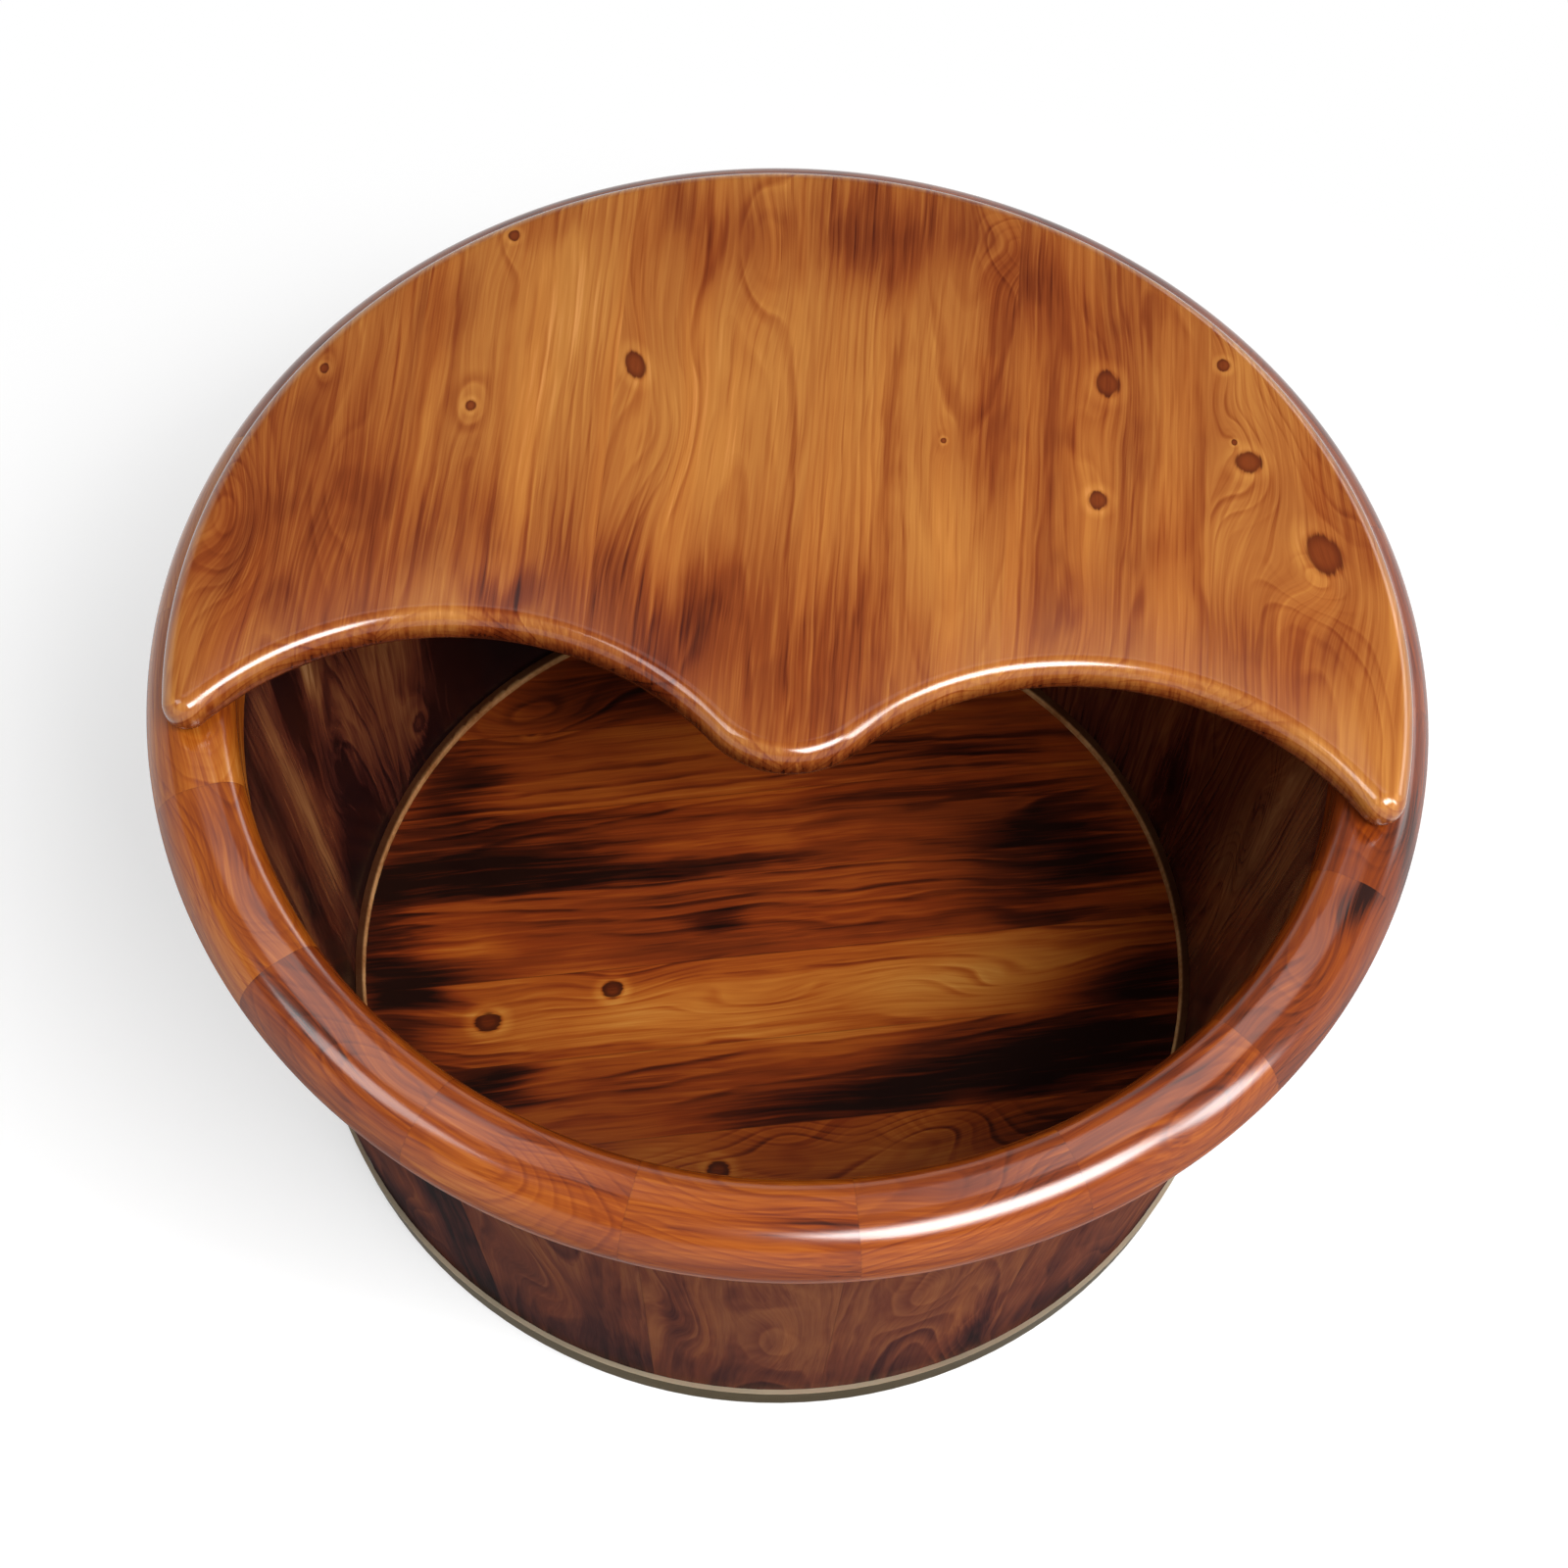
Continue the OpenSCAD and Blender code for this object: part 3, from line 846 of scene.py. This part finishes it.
def lid_plank(index):
    """A plank of the lid with its edges rounded over, counted from the left."""
    half = LID_PLANKS // 2
    right = index > half
    number = index - half if right else half + 1 - index
    side = 1 if right else -1
    turns = [math.pi / 2 * k / LID_EDGE_STEPS for k in range(LID_EDGE_STEPS + 1)]
    rings = [(LID_EDGE_R * (1 - math.sin(a)), LID_EDGE_R * (1 - math.cos(a))) for a in turns]
    thick = LID_TOP - TUB_TOP
    rings += [(inset, thick - rise) for inset, rise in reversed(rings)]
    mesh = bmesh.new()
    loops = []
    for inset, rise in rings:
        loop = lid_loop(number, inset)
        loops.append([mesh.verts.new((side * p.x, p.y + LID_BACK, TUB_TOP + rise)) for p in loop])
    for low, high in zip(loops, loops[1:]):
        count = len(low)
        for i in range(count):
            j = (i + 1) % count
            mesh.faces.new((low[i], low[j], high[j], high[i]))
    mesh.faces.new(list(reversed(loops[0])))
    mesh.faces.new(loops[-1])
    bmesh.ops.recalc_face_normals(mesh, faces=mesh.faces)
    return finish_mesh(mesh, f"lid_board_{index}", math.radians(40))


def lid_top(graph, row_place):
    """1 on the rubbed top of the lid, and 0 on its glossy edges."""
    height = graph.split(row_place)[2]
    return graph.smooth(height, LID_TOP - 1.0 * MM, LID_TOP - 0.15 * MM)


def lid_edge(graph, row_place):
    """The rounded edges are painted paler above, as light, and darker below, as shade, with marks of the
    end grain.
    """
    height = graph.split(row_place)[2]
    above = graph.smooth(height, LID_TOP - 0.8 * MM, LID_TOP - 0.05 * MM, 1.0, 0.0)
    # Painted light on the upper part of the rounded edge, and painted shade where it turns under.
    painted_edge_light = graph.math("MULTIPLY", graph.smooth(height, LID_TOP - 4 * MM, LID_TOP - 0.8 * MM), above)
    painted_edge_shade = graph.smooth(height, LID_TOP - 12 * MM, LID_TOP - 4 * MM, -0.28, 0.0)
    marks = graph.smooth(graph.noise(row_place, (700, 70, 40), detail=2.0), 0.45, 0.7)
    depth = graph.smooth(height, LID_TOP - 7 * MM, LID_TOP - 1.5 * MM, -0.2, 0.0)
    marks = graph.math("MULTIPLY", marks, depth)
    return graph.math("MULTIPLY_ADD", painted_edge_light, 0.14, graph.math("ADD", painted_edge_shade, marks))


def make_lid():
    finish = Finish(coat_roughness=0.14, roughness=0.45, ripple=0.03, dull_coat=0.4)
    board = Board((0, 0, LID_TOP), (0, 1, 0), (0, 0, 1))

    def on_board(x, y):
        return board.place((x, y, LID_TOP))[:2]

    for index in range(1, LID_PLANKS + 1):
        left = (index - 1 - LID_PLANKS / 2) * LID_PLANK_W
        right = left + LID_PLANK_W
        knots = []
        for x, y, long, wide, turn in LID_KNOTS:
            if left <= x < right:
                knots.append((on_board(x, y), (long, wide), turn))
        swirls = []
        for x, y, long, wide, turn, rise in LID_SWIRLS:
            if left <= x < right:
                swirls.append((on_board(x, y), (long, wide), turn, rise))
        stains = []
        for x, y, width, length, strength in LID_STAINS:
            if left - 2 * width < x < right + 2 * width:
                stains.append((on_board(x, y), (length, width), strength))
        figure = Figure(400 + index, (0.03, 0.07), tilt=0.04, ring_w=(1.8, 2.8), wander=4.0, through=0.3)
        figure.pith = (0, -(left + right) / 2 + figure.pith[1], figure.pith[2])
        tone = Tone(LID_LEVELS[index - 1], rings=0.2, streaks=0.27, bands=0.2, clouds=0.4, stain=0.32)
        material = wood(
            f"lid_wood_{index}", board, figure, tone, LID_PALETTE, finish,
            knots=knots, swirls=swirls, stains=stains, dull=lid_top, shade=lid_edge,
        )
        piece = lid_plank(index)
        piece.data.materials.append(material)
        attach(piece, "root")
        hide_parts(f"lid_plank_{index}")


# Battens, pins and screws under the lid

def dress_hidden_wood():
    finish = Finish(coat=0.4, coat_roughness=0.3, roughness=0.5, ripple=0.01)
    for seed, name in ((501, "lid_batten_front"), (502, "lid_batten_back")):
        low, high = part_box(name)
        middle = (low + high) / 2
        material = wood(
            f"{name}_wood", Board(middle, (1, 0, 0), (0, 0, -1)), Figure(seed), Tone(level=0.5),
            LID_PALETTE, finish,
        )
        paint(name, material)


def bamboo():
    graph = Graph("bamboo")
    place = graph.object_place()
    fibre = graph.noise(place, (900, 900, 120), detail=2.0)
    colour = graph.ramp(fibre, [(0.3, srgb(168, 122, 66)), (0.7, srgb(206, 168, 104))])
    normal = graph.bump(fibre, 0.05 * MM)
    return graph.surface({"Base Color": colour, "Roughness": 0.6, "Normal": normal})


def bead():
    """A sealing bead with a pale lip on the floor, and painted shade where it climbs the wall."""
    graph = Graph("bead")
    place = graph.object_place()
    height = graph.split(place)[2]
    cloud = graph.noise(place, (60, 60, 60), detail=3.0)
    speck = graph.noise(place, (700, 700, 700), detail=2.0)
    level = graph.math("MULTIPLY_ADD", graph.off_middle(speck), 0.4, cloud)
    stops = [(0.3, srgb(150, 98, 56)), (0.55, srgb(188, 136, 88)), (0.8, srgb(212, 168, 116))]
    pale = graph.ramp(level, stops)
    # Painted shade: the bead is painted dark where it climbs into the corner against the wall.
    climb = graph.smooth(height, FLOOR_TOP + 1.9 * MM, FLOOR_TOP + 2.9 * MM, 0.0, 0.95)
    colour = graph.mix(climb, pale, srgb(52, 22, 11))
    normal = graph.bump(graph.math("ADD", cloud, graph.math("MULTIPLY", speck, 0.3)), 0.4 * MM)
    return graph.surface({
        "Base Color": colour, "Roughness": 0.6, "Specular IOR Level": 0.0, "Normal": normal,
    })


def hoop_metal():
    """Brushed steel, with marks round the band, dirty smears, and a highlight painted as a pale upper edge.
    """
    graph = Graph("hoop_metal")
    place = graph.object_place()
    height = graph.split(place)[2]
    brushed = graph.noise(place, (25, 25, 2500), detail=3.0, roughness=0.7)
    smear = graph.noise(place, (14, 14, 60), detail=3.0)
    level = graph.math("MULTIPLY_ADD", graph.off_middle(brushed), 0.6, smear)
    stops = [(0.25, srgb(24, 20, 15)), (0.5, srgb(40, 34, 27)), (0.8, srgb(62, 54, 43))]
    colour = graph.ramp(level, stops)
    # A highlight painted as a pale band along the upper edge of the hoop.
    painted_highlight = graph.smooth(height, HOOP_TOP - 0.5 * MM, HOOP_TOP - 0.1 * MM)
    colour = graph.mix(painted_highlight, colour, srgb(216, 200, 172))
    rough = graph.math("MULTIPLY_ADD", smear, 0.2, 0.32)
    normal = graph.bump(brushed, 0.03 * MM)
    return graph.surface({
        "Base Color": colour,
        "Metallic": 1.0,
        "Specular Tint": srgb(205, 196, 182),
        "Roughness": rough,
        "Anisotropic": 0.4,
        "Normal": normal,
    })


def screw_metal():
    graph = Graph("screw_metal")
    place = graph.object_place()
    turned = graph.noise(place, (400, 400, 2000), detail=2.0)
    colour = graph.ramp(turned, [(0.3, srgb(150, 148, 142)), (0.7, srgb(196, 194, 188))])
    rough = graph.math("MULTIPLY_ADD", turned, 0.2, 0.25)
    return graph.surface({"Base Color": colour, "Metallic": 1.0, "Roughness": rough})


# Studio

# The camera that the photograph was taken with, as fitted to the rim, floor and foot.
CAMERA_PLACE = (0.01312, -0.58110, 1.19923)
CAMERA_ELEVATION = math.radians(60.76)
CAMERA_AZIMUTH = math.radians(1.29)
CAMERA_ROLL = math.radians(3.47)
CAMERA_LENS = 74.785
BACKDROP_R = 6.0
BACKDROP_SWEEP = 1.5
BACKDROP_H = 3.2
BACKDROP_STEPS = 8


def make_camera():
    level = level_vector(CAMERA_AZIMUTH)
    away = level_vector(CAMERA_AZIMUTH - math.pi / 2)
    back = away * math.cos(CAMERA_ELEVATION) + Vector((0, 0, math.sin(CAMERA_ELEVATION)))
    upright = back.cross(level)
    right = math.cos(CAMERA_ROLL) * level + math.sin(CAMERA_ROLL) * upright
    up = -math.sin(CAMERA_ROLL) * level + math.cos(CAMERA_ROLL) * upright
    data = bpy.data.cameras.new("camera")
    data.lens = CAMERA_LENS
    data.sensor_width = 36
    data.clip_start = 0.05
    camera = bpy.data.objects.new("camera", data)
    camera.matrix_world = Matrix.Translation(CAMERA_PLACE) @ Matrix((right, up, back)).transposed().to_4x4()
    bpy.context.scene.collection.objects.link(camera)
    bpy.context.scene.camera = camera


def softbox(name, azimuth, elevation, distance, size, radiance):
    """A rectangular lamp aimed at the tub, from a compass angle and a height in degrees."""
    climb = math.radians(elevation)
    toward = level_vector(math.radians(azimuth)) * math.cos(climb) + Vector((0, 0, math.sin(climb)))
    data = bpy.data.lights.new(name, "AREA")
    data.shape = "RECTANGLE"
    data.size, data.size_y = size
    data.energy = 4 * radiance * size[0] * size[1]
    lamp = bpy.data.objects.new(name, data)
    lamp.location = Vector((0, 0, TUB_TOP / 2)) + toward * distance
    lamp.rotation_mode = "QUATERNION"
    lamp.rotation_quaternion = toward.to_track_quat("Z", "Y")
    bpy.context.scene.collection.objects.link(lamp)
    return lamp


def make_backdrop():
    """A white floor that sweeps up into a round wall and keeps the tub's shadow."""
    profile = [(0.0, 0.0), (BACKDROP_R - BACKDROP_SWEEP, 0.0)]
    for step in range(1, BACKDROP_STEPS + 1):
        turn = math.pi / 2 * step / BACKDROP_STEPS
        across = BACKDROP_R - BACKDROP_SWEEP * (1 - math.sin(turn))
        profile.append((across, BACKDROP_SWEEP * (1 - math.cos(turn))))
    profile.append((BACKDROP_R, BACKDROP_H))
    mesh = bmesh.new()
    verts = [mesh.verts.new((across, 0, height)) for across, height in profile]
    edges = [mesh.edges.new(pair) for pair in zip(verts, verts[1:])]
    bmesh.ops.spin(mesh, geom=verts + edges, cent=(0, 0, 0), axis=(0, 0, 1), angle=math.tau, steps=96)
    bmesh.ops.remove_doubles(mesh, verts=mesh.verts, dist=0.001)
    bmesh.ops.recalc_face_normals(mesh, faces=mesh.faces)
    backdrop = finish_mesh(mesh, "studio_backdrop", math.pi)

    # Lamps and bounced light meet plain matt white. What is seen is white, shaded only near the tub.
    graph = Graph("studio_backdrop")
    place = graph.object_place()
    far = graph.smooth(graph.vector("LENGTH", place), 0.26, 0.5)
    path = graph.node("LightPath").outputs
    seen = graph.math("MAXIMUM", path["Is Camera Ray"], path["Is Glossy Ray"])
    seen = graph.math("MAXIMUM", seen, path["Is Transmission Ray"])
    matt = graph.node("BsdfDiffuse", {"Color": (0.8, 0.8, 0.8, 1)}).outputs[0]
    shaded = graph.node("BsdfDiffuse", {"Color": (0.55, 0.55, 0.55, 1)}).outputs[0]
    faint = graph.node("Emission", {"Color": (1, 1, 1, 1), "Strength": 0.5}).outputs[0]
    near_tub = graph.node("AddShader", {0: shaded, 1: faint}).outputs[0]
    white = graph.node("Emission", {"Color": (1, 1, 1, 1), "Strength": 1.0}).outputs[0]
    visible = graph.node("MixShader", {0: far, 1: near_tub, 2: white}).outputs[0]
    shader = graph.node("MixShader", {0: seen, 1: matt, 2: visible})
    output = graph.node("OutputMaterial")
    graph.tree.links.new(shader.outputs[0], output.inputs["Surface"])
    backdrop.data.materials.append(graph.material)


def make_world():
    """A plain pale ceiling above the backdrop."""
    world = bpy.data.worlds.new("studio")
    bpy.context.scene.world = world
    world.use_nodes = True
    background = world.node_tree.nodes["Background"]
    background.inputs["Color"].default_value = (1, 1, 1, 1)
    background.inputs["Strength"].default_value = 0.27


# Lamps are (name, azimuth, elevation, distance, size, radiance), with the angles in degrees.
LAMPS = [
    ("key", -49, 57, 1.7, (0.9, 0.54), 14.5),
    ("side", -22, 36, 1.7, (0.26, 0.6), 10),
    ("fill", -160, 57, 1.7, (0.46, 0.6), 5.5),
]
# Cards show only in reflections, and add no light to the wood.
CARDS = [
    ("key_card", -50, 57, 1.75, (0.82, 0.9), 6),
    ("side_card", -21, 37, 1.75, (0.26, 1.1), 6),
    ("back_left_card", 124, 68.5, 1.8, (0.5, 0.36), 2.0),
    ("back_right_card", 59, 68.5, 1.8, (0.5, 0.36), 2.2),
    ("right_card", 42, 20, 1.9, (1.9, 0.5), 2.6),
]


def light():
    make_world()
    for lamp in LAMPS:
        softbox(*lamp)
    for card in CARDS:
        softbox(*card).visible_diffuse = False
    softbox("ceiling", -90, 66, 1.8, (1.4, 0.9), 0.4).visible_glossy = False


make_camera()
light()
make_backdrop()
dress_staves()
dress_rim()
dress_floor()
make_lid()
dress_hidden_wood()
for pins in ("stave_pins", "floor_pins", "rim_dowels"):
    paint(pins, bamboo())
paint("floor_bead", bead())
paint("foot_hoop", hoop_metal())
paint("batten_screws", screw_metal())

bpy.context.scene.view_settings.view_transform = "Standard"
